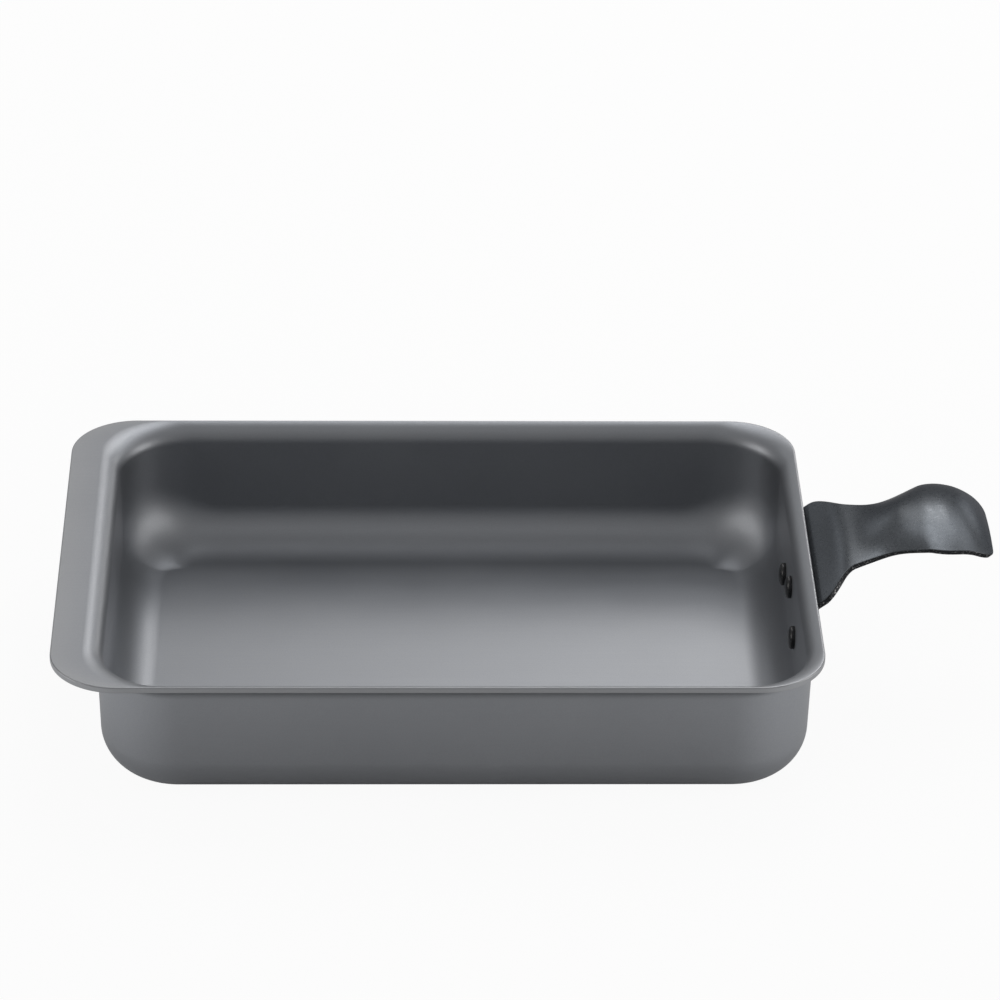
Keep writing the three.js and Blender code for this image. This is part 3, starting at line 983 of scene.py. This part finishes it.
def speckled_coating():
    """The handle's finish: a speckle in colour and shine, a slight orange peel, and a black cut edge with
    painted glints.
    """
    material, shader = new_finish("speckled_coating")
    tree = material.node_tree
    speckle = noise(tree, SPECKLE_SIZE, detail=1.0)
    orange_peel = noise(tree, PEEL_SIZE)
    streaks = noise(tree, STREAK_SIZE, detail=4.0)
    tone = mix_colours(tree, spread(tree, speckle, 0, 1), *COATING_GREYS)
    edge = wear_and_highlight_of(tree)
    tone = mix_colours(tree, spread(tree, edge, 0, CUT_SHARE, 0.2, 0.8), tone, CUT_BLACK)
    # Painted glints: lighter streaks along the cut edge, partly where the coating is thin.
    painted_glints = combine(tree, "MULTIPLY", edge, spread(tree, streaks, 0, PAINTED_GLINT_SHARE, 0.56, 0.7))
    tone = mix_colours(tree, painted_glints, tone, PAINTED_GLINT_GREY)
    peel = spread(tree, orange_peel, -PEEL_DULL, PEEL_DULL)
    dull = combine(tree, "ADD", spread(tree, speckle, *COATING_ROUGHNESS), peel)
    surface = bump(tree, orange_peel, PEEL_DEPTH)
    surface = bump(tree, speckle, SPECKLE_DEPTH, surface)
    dress(tree, shader, tone, dull, surface)
    shader.inputs["Metallic"].default_value = 0.8
    shader.inputs["Specular Tint"].default_value = GRAZING_TINT
    return material


coating = speckled_coating()
print("coating:", len(coating.node_tree.nodes), "nodes")

# %% [markdown]
# ## Black rivets
# The rivets are blacker and smoother than the handle, and a small glint sits on each dome. With one
# roughness all over they would look like glass beads. A little mottling, as the heading tool leaves it,
# breaks the glint, and it is so shallow that a bump is enough.

# %% Make the rivet finish
MOTTLE_SIZE = 0.9 * MM
MOTTLE_DEPTH = 0.006 * MM
FINE_SIZE = 0.2 * MM
FINE_DULL = 0.03
RIVET_BLACKS = ((0.010, 0.010, 0.011), (0.02, 0.02, 0.021))
RIVET_ROUGHNESS = (0.17, 0.26)


def rivet_black():
    """The rivets' finish: nearly black, mottled, with a soft shine."""
    material, shader = new_finish("rivet_black")
    tree = material.node_tree
    mottle = noise(tree, MOTTLE_SIZE)
    fine = spread(tree, noise(tree, FINE_SIZE), -FINE_DULL, FINE_DULL)
    tone = mix_colours(tree, spread(tree, mottle, 0, 1), *RIVET_BLACKS)
    dull = combine(tree, "ADD", spread(tree, mottle, *RIVET_ROUGHNESS), fine)
    dress(tree, shader, tone, dull, bump(tree, mottle, MOTTLE_DEPTH))
    shader.inputs["Specular IOR Level"].default_value = 0.9
    shader.inputs["Metallic"].default_value = 0.3
    return material


black = rivet_black()
print("rivet finish:", len(black.node_tree.nodes), "nodes")

# %% [markdown]
# ## Joining the pieces to the frame
# Each finer mesh stands for one imported node: it hides that node, takes its finish and rides on the part's
# only body, because nothing on this pan moves. A helper parents it to an empty that stands for that body.

# %% Hand the pieces to the frame
def hand_over(piece, node, material):
    """A piece replaces its node, with a finish."""
    piece.data.materials.append(material)
    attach(piece, "root")
    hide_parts(node)


hand_over(pan_body, "pan_body", satin)
hand_over(handle, "handle", coating)
for node, rivet in rivets.items():
    hand_over(rivet, node, black)
print("pieces handed over:", 2 + len(rivets))

# %% [markdown]
# ## The room
# The photograph shows the pan on a pure white ground, in soft light from all round. More light would make
# the ground white too, but it would bleach the pan. The room is therefore a plain pale grey, at a level
# where colours look about as they are written, and the Standard view shows them unchanged.

# %% A pale grey room
ROOM_BRIGHTNESS = 0.36

world = bpy.data.worlds.new("studio")
world.use_nodes = True
bpy.context.scene.world = world
room = world.node_tree.nodes["Background"]
room.inputs["Color"].default_value = (1, 1, 1, 1)
room.inputs["Strength"].default_value = ROOM_BRIGHTNESS
bpy.context.scene.view_settings.view_transform = "Standard"
print("room brightness:", ROOM_BRIGHTNESS)

# %% [markdown]
# ## The white floor
# The ground of the photograph is white right up to the pan, with only a trace of shadow. A floor that is
# merely lit would be grey. The Light Path node tells which ray arrives: on camera rays the floor is mostly a
# plain white, and the rest of it is still lit and keeps the soft shadow.
# Mirror rays see little of that white in the middle, where the pan stands in its own shade, and more of it
# towards the sides, a painted glow that makes the ends of the rim bright.

# %% White for the camera, less of it in mirrors
FLOOR_GLOW = 0.94
MIRRORED_GLOW = 0.02
# A painted glow in mirrors, growing towards the sides, brightens the ends of the rim.
PAINTED_SIDE_GLOW = 0.54
# Squares of the distances to the side between which the painted glow in mirrors grows, in square metres.
SIDE_START = 0.008
SIDE_END = 0.026
FLOOR_WHITE = (0.84, 0.84, 0.84, 1)


def floor_glow(tree):
    """Share of plain white in the floor: most on camera rays; on glossy and transmission rays less, a
    painted glow growing towards the sides.
    """
    path = tree.nodes.new("ShaderNodeLightPath")
    mirrored = combine(tree, "MAXIMUM", path.outputs["Is Glossy Ray"], path.outputs["Is Transmission Ray"])
    place = tree.nodes.new("ShaderNodeTexCoord")
    axes = tree.nodes.new("ShaderNodeSeparateXYZ")
    tree.links.new(place.outputs["Object"], axes.inputs["Vector"])
    aside = combine(tree, "MULTIPLY", axes.outputs["X"], axes.outputs["X"])
    # The painted glow that mirrors see grows from the middle towards the sides.
    painted_side_glow = spread(tree, aside, MIRRORED_GLOW, PAINTED_SIDE_GLOW, SIDE_START, SIDE_END)
    mirrored = combine(tree, "MULTIPLY", mirrored, painted_side_glow)
    seen = spread(tree, path.outputs["Is Camera Ray"], 0, FLOOR_GLOW, 0, 1)
    return combine(tree, "MAXIMUM", seen, mirrored)


def studio_white():
    """A dull white floor that turns to plain white by the share that floor_glow gives."""
    material, shader = new_finish("studio_white")
    tree = material.node_tree
    shader.inputs["Base Color"].default_value = FLOOR_WHITE
    shader.inputs["Roughness"].default_value = 1.0
    shader.inputs["Specular IOR Level"].default_value = 0.0
    glow = tree.nodes.new("ShaderNodeEmission")
    choose = tree.nodes.new("ShaderNodeMixShader")
    tree.links.new(floor_glow(tree), choose.inputs["Fac"])
    tree.links.new(shader.outputs["BSDF"], choose.inputs[1])
    tree.links.new(glow.outputs["Emission"], choose.inputs[2])
    tree.links.new(choose.outputs["Shader"], tree.nodes["Material Output"].inputs["Surface"])
    return material


white = studio_white()
print("floor white:", len(white.node_tree.nodes), "nodes")

# %% [markdown]
# ## Laying the floor
# The pan stands on a seamless white sheet that runs out of the picture on all sides. A curved backdrop isn't
# needed, because the camera looks down and sees only the ground. One square, far larger than the view, is
# enough. It lies a hair under the base, so that the two flat faces don't flicker through each other.

# %% Lay the floor
FLOOR_SIZE = 6.0
FLOOR_DROP = 0.05 * MM

half_floor = FLOOR_SIZE / 2
floor_corners = [(half_floor * x, half_floor * y, -FLOOR_DROP) for x, y in signs]
floor_mesh = bpy.data.meshes.new("floor")
floor_mesh.from_pydata(floor_corners, [], [(0, 1, 2, 3)])
floor_mesh.materials.append(white)
floor = bpy.data.objects.new("floor", floor_mesh)
bpy.context.scene.collection.objects.link(floor)
print("floor:", FLOOR_SIZE, "m square")

# %% [markdown]
# ## Lamps
# Satin metal is shaped by what it mirrors. Point lamps would leave hard spots on it, so these are softboxes.
# The broad key, the back and the top ones are mirrored by the floor of the pan, which grows brighter to the
# front. A small spot gives the thumb rest its light, low ones reach the handle's slopes, those at the sides
# light the rim's ends and the corners, and a weak one lifts the front wall.
# A softbox's brightness is what a mirror shows of it, which is easier to judge than watts.

# %% A helper that hangs a softbox
LAMP_DISTANCE = 1.6
WARM_WHITE = (1.0, 0.975, 0.94)
COOL_WHITE = (0.985, 0.99, 1.0)

lamp_target = Vector((0, 0, pan_high.z))


def softbox(name, azimuth, elevation, size, brightness, tint):
    """A square lamp facing the pan. Azimuth 0 is behind it, 90 is right. A mirror shows its brightness."""
    lamp = bpy.data.lights.new(name, "AREA")
    lamp.size = size
    lamp.energy = brightness * math.pi * size ** 2
    lamp.color = tint
    turn = math.radians(azimuth)
    rise = math.radians(elevation)
    level = LAMP_DISTANCE * math.cos(rise)
    place = Vector((level * math.sin(turn), level * math.cos(turn), LAMP_DISTANCE * math.sin(rise)))
    place += lamp_target
    box = bpy.data.objects.new(name, lamp)
    box.location = place
    box.rotation_euler = (lamp_target - place).to_track_quat("-Z", "Y").to_euler()
    box.visible_camera = False
    bpy.context.scene.collection.objects.link(box)


# %% Hang the softboxes
softbox("softbox_key", 5, 38, 0.65, 1.15, WARM_WHITE)
softbox("softbox_spot", 16, 35, 0.28, 5.2, WARM_WHITE)
softbox("softbox_back", 19, 54, 0.7, 1.4, COOL_WHITE)
softbox("softbox_back_low", 35, 9, 0.4, 2.4, WARM_WHITE)
softbox("softbox_back_right", 40, 38, 0.7, 1.2, COOL_WHITE)
softbox("softbox_back_left", -26, 23, 0.4, 0.9, COOL_WHITE)
softbox("softbox_left", -98, 14, 0.8, 2.3, WARM_WHITE)
softbox("softbox_right", 98, 14, 0.8, 2.6, WARM_WHITE)
softbox("softbox_top", -2, 65, 0.7, 1.5, COOL_WHITE)
softbox("softbox_front", 180, 60, 0.8, 0.2, COOL_WHITE)
